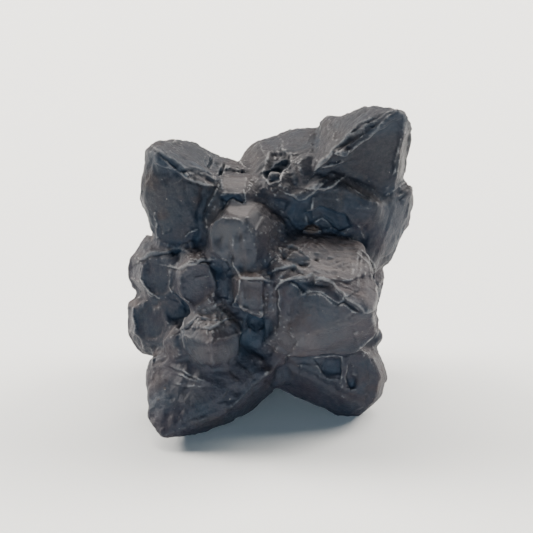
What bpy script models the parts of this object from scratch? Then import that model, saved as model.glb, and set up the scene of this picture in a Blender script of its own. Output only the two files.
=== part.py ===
# A natural cluster of goethite crystals that grew together into one stone and stands on three of its tips.
#
# The crystals are placed as the cluster is seen face-on, in millimetres from its middle:
# (to the right, up, towards the viewer). The whole then leans back onto its three feet.

import math
import random

import bmesh
import bpy
from mathutils import Matrix, Vector

MM = 0.001
SEED = 7

LEAN_BACK = math.radians(26)
FOOT_WEAR = 0.45

# Facets of one crystal that lie nearly in one plane are one face; tiny faces and edges are left out.
SAME_FACE = math.radians(20)
LEAST_FACE = 0.6
LEAST_EDGE = 0.12
SAME_PLANE = math.radians(1.5)

# Growth steps on the larger faces, in millimetres and as shares of the face.
STEP_PITCH = 4.6
STEP_RISE = 0.3
STEP_SHARE = (0.68, 0.94)
STEP_WALL = 0.97
STEP_LEAST_AREA = 19
STEP_LEAST_WIDTH = 3.0
STEP_TOWARDS_TIP = 0.22
STEP_LEAST_INSET = 0.9
TWO_STEP_AREA = 75

# Faces that stopped growing below their rims; those that look up more than this kept growing.
SUNK_DEPTH = 0.26
SUNK_SHARE = (0.75, 0.89)
SUNK_LEAST_AREA = 9
SUNK_MOST_UP = 0.35

# How unevenly lumps, small crystals and hollows vary from their sizes.
LUMP_WANDER = (0.95, 1.12)
GEM_WANDER = (0.96, 1.04)
HOLLOW_WANDER = (0.8, 1.1)

# How much of a small crystal's point is cut square.
GEM_CUT = 0.38

# Small crystals that fill the joints between the large ones.
CRUST_COUNT = 26
CRUST_RADIUS = (0.6, 1.4)
CRUST_LEAST_EDGE = 0.8
CRUST_LEAST_FACE = 3.5
CRUST_SINK = 0.25
CRUST_LOWEST = -17

# Large crystals: the blunt tip, the corners where its faces meet, and its buried root.
SPIRES = {
    "upper_right": {
        "tip": [(17.6, 22.0, 12), (15.3, 22.6, 7)],
        "corners": [(6.4, 14.6, 9), (17.0, 11.2, 5), (18.2, 17.2, 8.7), (20.1, 19.5, 3.5),
                    (18.6, 13.6, -2), (10.6, 22.4, 1), (7.2, 21.2, -3)],
        "root": [(4, 8, -2), (14, 14, -8), (9.5, 12, 6)],
    },
    "upper_left": {
        "tip": [(-15.4, 16.4, 11), (-17.1, 16.8, 8.5)],
        "corners": [(-8.0, 11.6, 8.5), (-9.6, 5.2, 7.5), (-13.0, 4.0, 6.5), (-16.4, 5.5, 5.5),
                    (-17.8, 10.8, 7), (-18.1, 10.6, 1), (-15.3, 18.2, 3), (-11.0, 18.7, -2),
                    (-7.0, 16.4, -4)],
        "root": [(-3, 6, -3), (-12, 8, -8), (-5, 8, 5)],
    },
    "lower_left": {
        "tip": [(-14.0, -22.2, 9.5), (-16.4, -20.4, 8.5), (-10.9, -22.6, 6)],
        "corners": [(-16.8, -12.0, 5), (-5.2, -18.6, 9.8), (0.6, -13.3, 8), (1.0, -15.9, 2),
                    (-3.8, -20.1, 3), (-16.8, -16.0, 1.5), (-12, -21.4, 4)],
        "root": [(-8, -8, 8), (-2, -3, -2), (-14, -14, -3)],
    },
    "lower_right": {
        "tip": [(12.4, -20.2, 1.4), (14.6, -18.0, 4.2), (9.6, -20.2, 1.0)],
        "corners": [(1.2, -11.8, 6.5), (13.0, -10.8, 7), (15.2, -14.9, 5.4), (0.9, -15.9, 1.5),
                    (16.2, -15.0, -0.5), (15.7, -17.3, 0), (15.0, -10.6, 0)],
        "root": [(10, -16, -5), (2, -3, -3), (12, -10, -5)],
    },
    "near_right": {
        "tip": [(13.7, -5.2, 16.5)],
        "corners": [(14.4, -8.5, 12.6), (12.0, -10.9, 11), (6.8, -11.6, 9.6), (1.4, -11.3, 9),
                    (-0.7, -9.8, 8.6), (10.1, -8.1, 14.3), (4.1, -8.9, 12.6), (-0.7, 0.3, 11),
                    (1.4, -1.5, 12.9), (4.1, -0.8, 13.6), (6.8, -1.2, 14.2), (10.1, -3.5, 15.6),
                    (0.7, 3.7, 8.6), (2.7, 5.2, 7), (10.3, 4.7, 7), (12.6, 3.6, 8), (13.7, 1.4, 10),
                    (14.5, -2.4, 13)],
        "root": [(3, -3, 0), (12, -4, 2)],
    },
    "far_right": {
        "tip": [(20.0, 12.1, 2), (18.5, 13.1, -2), (20.3, 10.5, -1)],
        "corners": [(15.8, 9.6, 5), (19.6, 6.9, -0.5), (18.0, 4.3, 0), (16.2, 1.6, 1),
                    (13, -1, 5), (18, 8, -6), (15, 1, -5)],
        "root": [(5, 4, -4), (10, -1, -4), (10, 8, 4)],
    },
    "far_right_low": {
        "tip": [(15.9, 0.6, -1), (16.2, -1.2, 0)],
        "corners": [(15.2, -4.4, 1), (14.6, -5.8, 2), (12, 2, 4), (12, -6, 4), (14, 2, -5), (13, -6, -5)],
        "root": [(8, -2, -4)],
    },
    "far_top": {
        "tip": [(4.8, 20.5, -6), (7, 20, -6), (1.4, 19.4, -5)],
        "corners": [(-2.6, 17.7, -5), (-4.2, 15.6, -4), (6.2, 15.6, 5), (1, 15.4, 5), (-2.4, 13, 4),
                    (4, 14, -10)],
        "root": [(0, 8, -2)],
    },
    "saddle": {
        "tip": [(-6.6, 16.3, -1), (-4.2, 15.6, -1)],
        "corners": [(-3.4, 14.4, 3), (-6.8, 14.4, 4), (-8.4, 15.6, 1), (-5, 14, -6)],
        "root": [(-2, 8, 0), (-8, 9, 2)],
    },
    "under_shelf": {
        "tip": [(6.2, 11.3, 9.4), (9.3, 12.4, 8.8)],
        "corners": [(2.4, 10.4, 8), (11.2, 11.4, 8.6), (14.9, 9.6, 6.4), (14.8, 4.4, 3.6),
                    (10.8, 4.6, 4.6), (6.9, 5.4, 4.8), (1.8, 6.9, 5)],
        "root": [(5, 5, 0), (8, 14, 2), (2, 11, 3)],
    },
    "crest": {
        "tip": [(-6.6, 12.6, 6.5), (-3.2, 12.9, 6.5), (-3.1, 11, 9), (-4.1, 10.7, 9.3), (-6.8, 10.8, 9)],
        "corners": [(-3.7, 9.7, 9.3), (-6.6, 9.7, 9.2), (-1.1, 12.7, 6), (-1.1, 10.0, 7.5), (-7.7, 11.3, 6),
                    (-7.7, 9.5, 7), (-6.4, 13.3, 4.5), (-3, 13.5, 4.5), (-1, 12.8, 4)],
        "root": [(-4.5, 9, 2)],
    },
    "middle": {
        "tip": [(-5.9, 9.6, 8.4), (-1.7, 9.6, 8.4), (-1.6, 8.4, 10.9), (-3.4, 7.4, 12.6), (-5.8, 7.6, 11.8)],
        "corners": [(-7.9, 6.0, 11), (-2.0, 4.9, 13), (-1.8, 1.4, 11.7), (-4.1, 0.7, 11), (-6.5, 1.6, 11),
                    (-7.9, 3.7, 11), (-8.9, 6.4, 8), (-8.6, 3.4, 7.5), (-7.9, 8.4, 7), (0.9, 8.6, 6.8),
                    (2.1, 6.3, 8.1), (1.6, 4.2, 8.4), (-1.1, 1.2, 8.6)],
        "root": [(-3, 5, 2)],
    },
    "left_upper": {
        "tip": [(-17.7, 1.4, 5.7), (-15.2, 2.1, 6.8), (-12.9, 1.4, 7.2), (-12.6, -1.8, 7.5),
                (-14.4, -3.8, 7), (-16.5, -3.4, 6), (-17.8, -1.5, 5.6)],
        "corners": [(-17.1, 4.9, 1), (-18.6, 3.6, 1), (-19.6, 2.0, 1.5), (-20.1, -0.4, 1), (-19.4, -2.0, 1),
                    (-18.1, -3.2, 1.5), (-13.2, 4.5, 3)],
        "root": [(-11, 0, -2), (-14, 1, -4)],
    },
    "left_inner": {
        "tip": [(-12.6, -0.4, 9.6), (-10.9, 1.4, 10.2), (-8.5, 1.1, 10.6), (-7.2, -1.4, 10.5),
                (-7.9, -4.1, 10.1), (-10.1, -5.2, 10), (-12.3, -3.8, 9.2)],
        "corners": [(-12.4, 3.0, 6), (-8.9, 3.0, 7), (-7.4, 1.8, 8), (-13.5, -1.8, 6), (-6.5, -2.5, 7),
                    (-9, -6.4, 6)],
        "root": [(-10, -1, 1)],
    },
    "left_lower": {
        "tip": [(-19, -5, 3.5), (-16.6, -3.7, 4.6), (-14.5, -4.6, 5.6), (-13.8, -7.3, 5.7),
                (-15.2, -9.7, 5), (-17.6, -10.1, 4), (-19.2, -7.8, 3)],
        "corners": [(-18.3, -3.2, 1), (-19.9, -4.6, 0.5), (-20.3, -7.2, 0), (-19.9, -9.2, 0),
                    (-18.2, -11.4, 0.5), (-16.5, -11.9, 1)],
        "root": [(-12, -7, -4), (-15, -6, -4)],
    },
    "lower_middle": {
        "tip": [(-7.7, -9.6, 13.6), (-7.6, -10.9, 13.1)],
        "corners": [(-10.3, -4.9, 8.6), (-5.8, -4.4, 8.6), (-3.8, -6.8, 9.5), (-4.0, -8.5, 10.5),
                    (-11.7, -8.6, 10.5), (-11.9, -6.3, 9), (-11.3, -10.9, 9.5), (-8.9, -13.1, 9.5),
                    (-6.1, -13, 9.5), (-4.4, -10.7, 9.6)],
        "root": [(-8, -8, 2)],
    },
    "centre": {
        "tip": [(-4.1, -1.1, 12.5), (-0.9, -1.2, 13.1), (-1.1, -6.2, 12.5), (-3.3, -5.4, 12.1)],
        "corners": [(-5.0, -3.8, 10.5), (-5.2, -0.4, 10), (-4.1, 0.9, 9.5), (-0.6, 0.6, 10)],
        "root": [(-3, -3, 2), (0, -6, 4)],
    },
    "back_foot": {
        "tip": [(1.5, -11.8, -16.4), (-0.5, -12.2, -15.4), (0.2, -10.8, -17.8)],
        "corners": [(8, -5, -12), (-6, -6, -12), (-5, -14, -6), (7, -14, -6)],
        "root": [(0, -2, -2)],
    },
    "back_left": {
        "tip": [(-14.4, 1.5, -15.6), (-13.2, 3.2, -16.4)],
        "corners": [(-15, -5, -6), (-5, -3, -13), (-6, 8, -12), (-16, 8, -4), (-9, -6, -10)],
        "root": [(-2, 0, -2)],
    },
    "back_right": {
        "tip": [(12.9, 3.5, -17.6), (14.2, 1.8, -16.2)],
        "corners": [(15, -5, -8), (4, -4, -13), (4, 7, -13), (15.5, 8, -7), (9, 9, -12)],
        "root": [(2, 0, -2)],
    },
    "back_heart": {
        "tip": [(-1.0, 4.6, -18.4), (0.6, 3.6, -18.6), (0.2, 2.6, -17.6)],
        "corners": [(-5.5, 3.5, -12), (4.5, 5.5, -12.5), (-1, 10, -11), (0, -3, -12)],
        "root": [(0, 3, -4)],
    },
    "back_top": {
        "tip": [(-8.6, 15.2, -12.6), (-10.2, 14.2, -12.8)],
        "corners": [(-13, 11, -7), (-8, 7, -12), (-2, 13, -10), (-7, 16.5, -6), (-12, 14.5, -5)],
        "root": [(-5, 8, -3)],
    },
}

# Crystals whose front faces lie a little lower than their raised rims.
SUNK = ["upper_right", "near_right", "left_upper", "left_inner", "left_lower", "centre"]

# Small crystals, octahedra with square-cut points: centre, radius, the way a square facet faces
# and the way that a six-sided facet beside it faces.
GEMS = {
    "right_low": {"at": (13.3, -9.2, 2.0), "radius": 2.3,
                  "square": (1, 0.2, 0.2), "facet": (0.2, 0, 1)},
    "under_inner": {"at": (-6.0, -1.4, 7.6), "radius": 2.3,
                    "square": (0.2, 0.6, 0.8), "facet": (0.5, -0.4, 0.8)},
    "beside_lower": {"at": (-4.6, -6.4, 7.2), "radius": 2.2,
                     "square": (0.5, 0.5, 0.7), "facet": (0, -0.4, 0.9)},
    "under_centre": {"at": (-2.7, -9.0, 5.8), "radius": 2.5,
                     "square": (-0.3, 0.7, 0.7), "facet": (0, -0.2, 1)},
    "over_foot": {"at": (-12.2, -9.8, 6.6), "radius": 2.5,
                  "square": (-0.4, 0.6, 0.7), "facet": (0.4, 0, 1)},
    "left_gap": {"at": (-13.0, -4.6, 3.0), "radius": 3.4,
                 "square": (0.1, 0.4, 0.9), "facet": (-0.3, -0.8, 0.5)},
    "under_ridge": {"at": (5.8, 13.4, 5.4), "radius": 3.2,
                    "square": (-0.2, -0.6, 0.8), "facet": (0, 0.1, 1)},
    "shelf_end": {"at": (1.4, 11.6, 6.2), "radius": 2.6,
                  "square": (-0.2, 0.8, 0.5), "facet": (-0.4, 0, 1)},
    "back_crest": {"at": (2.4, 13.6, -11.6), "radius": 4.4,
                   "square": (0.2, 0.7, -0.7), "facet": (-0.5, 0, -1)},
    "back_right_top": {"at": (10.6, 13.0, -9), "radius": 5.4,
                       "square": (0.5, 0.7, -0.5), "facet": (0.6, -0.4, -0.6)},
    "back_small": {"at": (5.6, 8.2, -14.4), "radius": 3.0,
                   "square": (0.2, 0.6, -0.8), "facet": (-0.3, -0.5, -0.8)},
    "back_left_low": {"at": (-9.6, -9.4, -9), "radius": 4.8,
                      "square": (-0.6, 0.1, -0.8), "facet": (0, -1, -0.4)},
    "back_left_small": {"at": (-5.4, -3.6, -13.4), "radius": 2.9,
                        "square": (-0.2, 0.5, -0.8), "facet": (0.4, -0.6, -0.6)},
    "back_right_low": {"at": (9.6, -8.4, -8.6), "radius": 4.4,
                       "square": (0.7, 0.3, -0.6), "facet": (0, -1, -0.2)},
}

# Rough lumps at the heart of the cluster: centre and radius.
CORE = (0, 0, -2)
LUMPS = [(CORE, 11.0), ((3, 9, -2), 8.0), ((-7, 7, -2), 7.5), ((-8, -7, -1), 8.0), ((6, -9, -1), 7.5),
         ((10, 6, -2), 6.5), ((-12.5, -9.5, -1), 5.0), ((1.5, -12, -2), 4.0),
         ((0.6, -13.0, 3.0), 3.2)]

# Hollows that broke out or never filled: centre, half-sizes and the way each one opens.
HOLLOWS = [
    ((0.9, 14.6, 6.0), (1.5, 1.6, 1.5), (0, 0.5, 0.9)),
    ((8.4, -13.2, 7.0), (1.4, 1.2, 1.6), (0, 0, 1)),
    ((11.4, -14.7, 6.4), (0.7, 1.6, 1.4), (0.1, 0, 1)),
    ((-8.5, 15.4, 4.2), (0.6, 1.5, 1.2), (0.1, 0.7, 0.7)),
    ((-6.4, 14.8, 4.4), (0.5, 1.4, 1.0), (-0.1, 0.7, 0.7)),
    ((4.2, 1.4, 11.9), (1.5, 0.8, 1.0), (0, 0.8, 0.6)),
    ((6.6, 2.2, 11.3), (1.2, 0.6, 0.8), (0, 0.8, 0.6)),
    ((2.6, 0.2, 12.4), (1.0, 0.6, 0.8), (0, 0.8, 0.6)),
]


def new_object(name, bm):
    mesh = bpy.data.meshes.new(name)
    bm.to_mesh(mesh)
    bm.free()
    obj = bpy.data.objects.new(name, mesh)
    bpy.context.scene.collection.objects.link(obj)
    return obj


def hull(points):
    """A closed convex solid round these points."""
    bm = bmesh.new()
    verts = [bm.verts.new(Vector(p) * MM) for p in points]
    bmesh.ops.convex_hull(bm, input=verts)
    bmesh.ops.delete(bm, geom=[v for v in bm.verts if not v.link_faces], context="VERTS")
    bmesh.ops.recalc_face_normals(bm, faces=bm.faces)
    return bm


def face_planes(points):
    """The flat faces that suit these points best: outward normal and distance from the origin."""
    bm = hull(points)
    left = sorted(bm.faces, key=lambda f: -f.calc_area())
    planes = []
    while left:
        seed = left.pop(0)
        group = [seed]
        for face in group:
            beside = [f for e in face.edges for f in e.link_faces]
            for near in beside:
                if near in left and near.normal.angle(seed.normal) < SAME_FACE:
                    left.remove(near)
                    group.append(near)
        area = sum(f.calc_area() for f in group)
        if area < LEAST_FACE * MM * MM:
            continue
        normal = sum((f.normal * f.calc_area() for f in group), Vector()).normalized()
        mean = sum(f.calc_center_median().dot(normal) * f.calc_area() for f in group) / area
        most = max(v.co.dot(normal) for f in group for v in f.verts)
        planes.append((normal, (mean + most) / 2))
    bm.free()
    return planes


def crystal(points):
    """A convex crystal with flat faces round these points."""
    bm = bmesh.new()
    bmesh.ops.create_cube(bm, size=200 * MM)
    for normal, distance in face_planes(points):
        cut = bmesh.ops.bisect_plane(
            bm, geom=bm.verts[:] + bm.edges[:] + bm.faces[:], dist=1e-8,
            plane_co=normal * distance, plane_no=normal, clear_outer=True)
        rim = [e for e in cut["geom_cut"] if isinstance(e, bmesh.types.BMEdge)]
        bmesh.ops.holes_fill(bm, edges=rim, sides=0)
    bmesh.ops.remove_doubles(bm, verts=bm.verts, dist=LEAST_EDGE * MM)
    bmesh.ops.recalc_face_normals(bm, faces=bm.faces)
    return bm


def step_centre(face, tip):
    """A point on the face, towards the tip where that leaves room for steps on all sides."""
    normal = face.normal
    centre = face.calc_center_median_weighted()
    on_face = tip - normal * (tip - centre).dot(normal)
    for share in (STEP_TOWARDS_TIP, STEP_TOWARDS_TIP / 2, 0):
        spot = centre.lerp(on_face, share)
        room = []
        for loop in face.loops:
            start = loop.vert.co
            along = (loop.link_loop_next.vert.co - start).normalized()
            room.append(normal.cross(along).dot(spot - start))
        if min(room) > STEP_LEAST_INSET * MM:
            return spot
    return None


def terrace(bm, face, tip, sunk, rng):
    """Growth steps up or down on one face, each with a ragged outline that keeps to that of the face."""
    normal = face.normal.copy()
    centre = step_centre(face, tip)
    if centre is None:
        return
    sunk = sunk and normal.y < SUNK_MOST_UP
    tiers = 2 if face.calc_area() > TWO_STEP_AREA * MM * MM and not sunk else 1
    share = SUNK_SHARE if sunk else STEP_SHARE
    move = -SUNK_DEPTH if sunk else STEP_RISE
    for tier in range(tiers):
        face = bmesh.ops.extrude_discrete_faces(bm, faces=[face])["faces"][0]
        for v in face.verts:
            v.co = centre + (v.co - centre) * rng.uniform(*share)
        face = bmesh.ops.extrude_discrete_faces(bm, faces=[face])["faces"][0]
        for v in face.verts:
            v.co = centre + (v.co - centre) * STEP_WALL + normal * move * MM


def longest_from(vert):
    return max(vert.link_edges, key=lambda e: e.calc_length())


def grown(name, points, end, root, rng, sunk=False):
    """A crystal whose larger outer faces carry growth steps, or lie sunk within a raised rim."""
    bm = crystal(points)
    least = SUNK_LEAST_AREA if sunk else STEP_LEAST_AREA
    wide = []
    for face in bm.faces:
        width = face.calc_area() / face.calc_perimeter() * 4
        outer = (face.calc_center_median() - root).dot(end - root) > 0
        if outer and face.calc_area() > least * MM * MM and width > STEP_LEAST_WIDTH * MM:
            wide.append(face)
    for face in wide:
        for edge in list(face.edges):
            pieces = round(edge.calc_length() / (STEP_PITCH * MM))
            start = edge.verts[0]
            for left in range(pieces, 1, -1):
                start = bmesh.utils.edge_split(edge, start, 1 / left)[1]
                edge = longest_from(start)
    for face in wide:
        terrace(bm, face, end, sunk, rng)
    return new_object(name, bm)


def middle_of(points):
    return sum((Vector(p) for p in points), Vector()) / len(points) * MM


def spire(name, tip, corners, root, rng):
    return grown(name, tip + corners + root, middle_of(tip), middle_of(root), rng, name in SUNK)


def gem_points(at, radius, square, facet, rng, cut=GEM_CUT):
    top = Vector(square).normalized()
    side = Vector(facet) - top * Vector(facet).dot(top)
    side.normalize()
    across = top.cross(side)
    turn = Matrix.Rotation(math.radians(45), 3, top)
    axes = (turn @ side, turn @ across, top)
    points = []
    for long_axis in range(3):
        for cut_axis in range(3):
            if cut_axis == long_axis:
                continue
            for long_sign in (-1, 1):
                for cut_sign in (-1, 1):
                    reach = radius * rng.uniform(*GEM_WANDER)
                    p = axes[long_axis] * long_sign * reach + axes[cut_axis] * cut_sign * reach * cut
                    points.append(Vector(at) + p)
    return points


def gem(name, at, radius, square, facet, rng):
    points = gem_points(at, radius, square, facet, rng)
    return grown(name, points, Vector(at) * MM, Vector(CORE) * MM, rng)


def lump(centre, radius, rng):
    bm = bmesh.new()
    bmesh.ops.create_icosphere(bm, subdivisions=1, radius=radius * MM)
    for v in bm.verts:
        v.co *= rng.uniform(*LUMP_WANDER)
    bmesh.ops.translate(bm, verts=bm.verts, vec=Vector(centre) * MM)
    return new_object("lump", bm)


def hollow(centre, half_sizes, opening, rng):
    """A cutter in the shape of a crystal that left its print."""
    bm = bmesh.new()
    bmesh.ops.create_cube(bm, size=2 * MM)
    for v in bm.verts:
        v.co = Vector([v.co[i] * half_sizes[i] * rng.uniform(*HOLLOW_WANDER) for i in range(3)])
    turn = Vector((0, 0, 1)).rotation_difference(Vector(opening)).to_matrix().to_4x4()
    bmesh.ops.transform(bm, matrix=Matrix.Translation(Vector(centre) * MM) @ turn, verts=bm.verts)
    bmesh.ops.triangulate(bm, faces=bm.faces)
    obj = new_object("hollow", bm)
    obj.hide_render = True
    obj.display_type = "WIRE"
    return obj


def combined(name, base, pieces, operation):
    """One solid of the base and all these pieces, added to it or cut from it."""
    together = bpy.data.collections.new("pieces")
    for piece in pieces:
        together.objects.link(piece)
    combine = base.modifiers.new("combine", "BOOLEAN")
    combine.operation = operation
    combine.solver = "EXACT"
    combine.operand_type = "COLLECTION"
    combine.collection = together
    graph = bpy.context.evaluated_depsgraph_get()
    mesh = bpy.data.meshes.new_from_object(base.evaluated_get(graph))
    for piece in [base] + pieces:
        bpy.data.objects.remove(piece)
    bpy.data.collections.remove(together)
    bm = bmesh.new()
    bm.from_mesh(mesh)
    keep_outer_skin(bm)
    bmesh.ops.dissolve_limit(bm, angle_limit=SAME_PLANE, verts=bm.verts, edges=bm.edges)
    bm.to_mesh(mesh)
    bm.free()
    obj = bpy.data.objects.new(name, mesh)
    bpy.context.scene.collection.objects.link(obj)
    return obj


def keep_outer_skin(bm):
    """Drops closed pockets inside the stone, which no light reaches."""
    left = set(bm.faces)
    skins = []
    for first in bm.faces:
        if first not in left:
            continue
        left.remove(first)
        skin = [first]
        for face in skin:
            for near in [f for e in face.edges for f in e.link_faces]:
                if near in left:
                    left.remove(near)
                    skin.append(near)
        skins.append(skin)
    skins.sort(key=len)
    for skin in skins[:-1]:
        bmesh.ops.delete(bm, geom=skin, context="FACES")


def crust(cluster, rng):
    """Small octahedra half sunk in the joints between the large crystals."""
    bm = bmesh.new()
    bm.from_mesh(cluster.data)
    joints = [e for e in bm.edges if e.is_manifold and not e.is_convex
              and e.calc_length() > CRUST_LEAST_EDGE * MM
              and min(v.co.y for v in e.verts) > CRUST_LOWEST * MM
              and min(f.calc_area() for f in e.link_faces) > CRUST_LEAST_FACE * MM * MM]
    pieces = []
    for edge in rng.sample(joints, min(CRUST_COUNT, len(joints))):
        spot = edge.verts[0].co.lerp(edge.verts[1].co, rng.random())
        outward = (edge.link_faces[0].normal + edge.link_faces[1].normal).normalized()
        radius = rng.uniform(*CRUST_RADIUS)
        at = (spot / MM - outward * radius * CRUST_SINK)
        square = [rng.uniform(-1, 1) for axis in range(3)]
        facet = [rng.uniform(-1, 1) for axis in range(3)]
        pieces.append(new_object("crust", hull(gem_points(at, radius, square, facet, rng, cut=0))))
    bm.free()
    return pieces


def stand(obj):
    """Leans the cluster back, wears its feet flat on one level, and puts the origin under its middle."""
    bm = bmesh.new()
    bm.from_mesh(obj.data)
    upright = Matrix.Rotation(math.radians(90), 4, "X")
    lean = Matrix.Rotation(-LEAN_BACK, 4, "X")
    bmesh.ops.transform(bm, matrix=lean @ upright, verts=bm.verts)
    floor = min(v.co.z for v in bm.verts) + FOOT_WEAR * MM
    cut = bmesh.ops.bisect_plane(
        bm, geom=bm.verts[:] + bm.edges[:] + bm.faces[:], dist=1e-7,
        plane_co=(0, 0, floor), plane_no=(0, 0, -1), clear_outer=True)
    rims = [e for e in cut["geom_cut"] if isinstance(e, bmesh.types.BMEdge)]
    bmesh.ops.holes_fill(bm, edges=rims, sides=0)
    bmesh.ops.recalc_face_normals(bm, faces=bm.faces)
    low = Vector([min(v.co[i] for v in bm.verts) for i in range(3)])
    high = Vector([max(v.co[i] for v in bm.verts) for i in range(3)])
    middle = (low + high) / 2
    shift = Vector((-middle.x, -middle.y, -low.z))
    bmesh.ops.translate(bm, verts=bm.verts, vec=shift)
    bm.to_mesh(obj.data)
    bm.free()
    return shift


def goethite():
    material = bpy.data.materials.new("goethite")
    material.use_nodes = True
    shader = material.node_tree.nodes["Principled BSDF"]
    shader.inputs["Base Color"].default_value = (0.075, 0.062, 0.058, 1)
    shader.inputs["Roughness"].default_value = 0.42
    shader.inputs["Metallic"].default_value = 0.25
    return material


def main():
    for obj in list(bpy.data.objects):
        bpy.data.objects.remove(obj)
    rng = random.Random(SEED)
    lumps = [lump(centre, radius, rng) for centre, radius in LUMPS]
    crystals = [spire(name, rng=rng, **points) for name, points in SPIRES.items()]
    crystals += [gem(name, rng=rng, **shape) for name, shape in GEMS.items()]
    cluster = combined("crystals", lumps[0], lumps[1:] + crystals, "UNION")
    cluster = combined("crystals", cluster, crust(cluster, rng), "UNION")
    hollows = [hollow(centre, half, opening, rng) for centre, half, opening in HOLLOWS]
    cluster = combined("crystal_cluster", cluster, hollows, "DIFFERENCE")
    shift = stand(cluster)
    cluster.data.materials.clear()
    cluster.data.materials.append(goethite())
    size = tuple(round(v / MM, 1) for v in cluster.dimensions)
    print("crystal_cluster", len(cluster.data.polygons), "faces", size)
    return shift


main()
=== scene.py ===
# A goethite cluster in daylight on a pale floor: blunt crystals grown together, stepped and worn.

import math
from itertools import product

import bmesh
import bpy
import numpy as np
from mathutils import Matrix, Vector
from mathutils.bvhtree import BVHTree
from mathutils.kdtree import KDTree


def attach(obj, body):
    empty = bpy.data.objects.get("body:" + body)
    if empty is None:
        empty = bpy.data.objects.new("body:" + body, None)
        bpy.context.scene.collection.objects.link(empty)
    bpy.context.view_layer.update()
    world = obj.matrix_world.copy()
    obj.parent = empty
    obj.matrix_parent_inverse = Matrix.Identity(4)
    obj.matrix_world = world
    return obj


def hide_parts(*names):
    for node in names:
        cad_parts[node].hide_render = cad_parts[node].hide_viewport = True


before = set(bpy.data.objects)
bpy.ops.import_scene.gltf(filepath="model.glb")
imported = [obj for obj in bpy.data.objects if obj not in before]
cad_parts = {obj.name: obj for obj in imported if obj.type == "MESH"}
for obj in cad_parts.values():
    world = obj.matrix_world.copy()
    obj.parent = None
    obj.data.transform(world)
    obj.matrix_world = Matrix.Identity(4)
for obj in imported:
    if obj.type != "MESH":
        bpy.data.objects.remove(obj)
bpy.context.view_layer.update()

mm = 0.001

# The camera looks down on the front of the stone; target and distances in metres, image places in pixels.
cameraSetup = {
    "tiltDown": 26,
    "distance": 0.4,
    "target": (-0.0000238, -0.0010450, 0.0177071),
    "imageSize": 533,
    "targetInImage": (270, 272),
    "metresPerPixel": 0.00014,
    "sensorWidth": 36,  # in millimetres
}


def viewAxes():
    # the directions to the right, up and towards the camera in the image
    tilt = math.radians(cameraSetup["tiltDown"])
    back = Vector((0, -math.cos(tilt), math.sin(tilt)))
    right = Vector((1, 0, 0))
    return right, back.cross(right), back


rightAxis, upAxis, cameraAxis = (np.array(axis) for axis in viewAxes())


def placed(name, data, place, back):
    # camera or lamp with its back to the given direction
    thing = bpy.data.objects.new(name, data)
    bpy.context.scene.collection.objects.link(thing)
    thing.location = place
    thing.rotation_mode = "QUATERNION"
    thing.rotation_quaternion = (-Vector(back)).to_track_quat("-Z", "Y")
    return thing


def makeCamera():
    back = viewAxes()[2]
    data = bpy.data.cameras.new("camera")
    place = Vector(cameraSetup["target"]) + back * cameraSetup["distance"]
    size = cameraSetup["imageSize"]
    atX, atY = cameraSetup["targetInImage"]
    imageWidth = size * cameraSetup["metresPerPixel"]
    data.sensor_width = cameraSetup["sensorWidth"]
    data.lens = cameraSetup["sensorWidth"] * cameraSetup["distance"] / imageWidth
    data.shift_x = (size / 2 - atX) / size
    data.shift_y = (atY - size / 2) / size
    bpy.context.scene.camera = placed("camera", data, place, back)


def inImage(points):
    # image place of each point, in pixels, and its depth towards the camera in millimetres
    q = points - np.array(cameraSetup["target"])
    depth = q @ cameraAxis
    scale = 1 / (1 - depth / cameraSetup["distance"]) / cameraSetup["metresPerPixel"]
    atX, atY = cameraSetup["targetInImage"]
    return atX + (q @ rightAxis) * scale, atY - (q @ upAxis) * scale, depth / mm


# Large primes and shifts that scatter the cells of the noise.
scatter = {
    "cellPrimes": (73856093, 19349663, 83492791),
    "seedPrime": 26544357,
    "mixPrime": 1274126177,
    "lowBits": 65535,
    "noiseShift": 7.31,
    "crumbShift": 5.17,
}


def hashed(cell, seed):
    # a number from -1 to 1 for each cell that looks random and is the same each time
    h = (seed + 7) * scatter["seedPrime"]
    for k, prime in enumerate(scatter["cellPrimes"]):
        h = h ^ cell[:, k] * prime
    h = (h ^ (h >> 13)) * scatter["mixPrime"]
    h = h ^ (h >> 16)
    return (h & scatter["lowBits"]) / (scatter["lowBits"] / 2) - 1


def softNoise(points, size, seed):
    # smooth noise from -1 to 1 with swellings about as wide as size, in metres
    q = points / size + seed * scatter["noiseShift"]
    cell = np.floor(q).astype(np.int64)
    t = q - cell
    t = t * t * (3 - 2 * t)
    total = np.zeros(len(points))
    for corner in product((0, 1), repeat=3):
        weight = np.abs(1 - np.array(corner) - t)
        total += weight[:, 0] * weight[:, 1] * weight[:, 2] * hashed(cell + np.array(corner), seed)
    return total


# Tiny crystals: how far they stand off the middle of their cell, their half-size and how much it varies.
crumbShape = {
    "jitter": 0.4,
    "reach": 0.85,
    "reachVaries": 0.25,
}


def crumbs(points, size, seed):
    # height of tiny blunt crystals that stand at random in cells of this size, from 0 up
    q = points / size + seed * scatter["crumbShift"]
    cell = np.floor(q).astype(np.int64)
    best = np.zeros(len(points))
    for step in product((-1, 0, 1), repeat=3):
        near = cell + np.array(step)
        jitter = np.stack([hashed(near, seed + k) for k in range(3)], 1)
        d = q - near - 0.5 - jitter * crumbShape["jitter"]
        a = hashed(near, seed + 3) * math.pi
        b = hashed(near, seed + 4) * math.pi
        dx = d[:, 0] * np.cos(a) - d[:, 1] * np.sin(a)
        dy = d[:, 0] * np.sin(a) + d[:, 1] * np.cos(a)
        dz = d[:, 2] * np.cos(b) - dy * np.sin(b)
        dy = d[:, 2] * np.sin(b) + dy * np.cos(b)
        reach = crumbShape["reach"] + crumbShape["reachVaries"] * hashed(near, seed + 5)
        best = np.maximum(best, reach - np.abs(dx) - np.abs(dy) - np.abs(dz))
    return best


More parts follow.
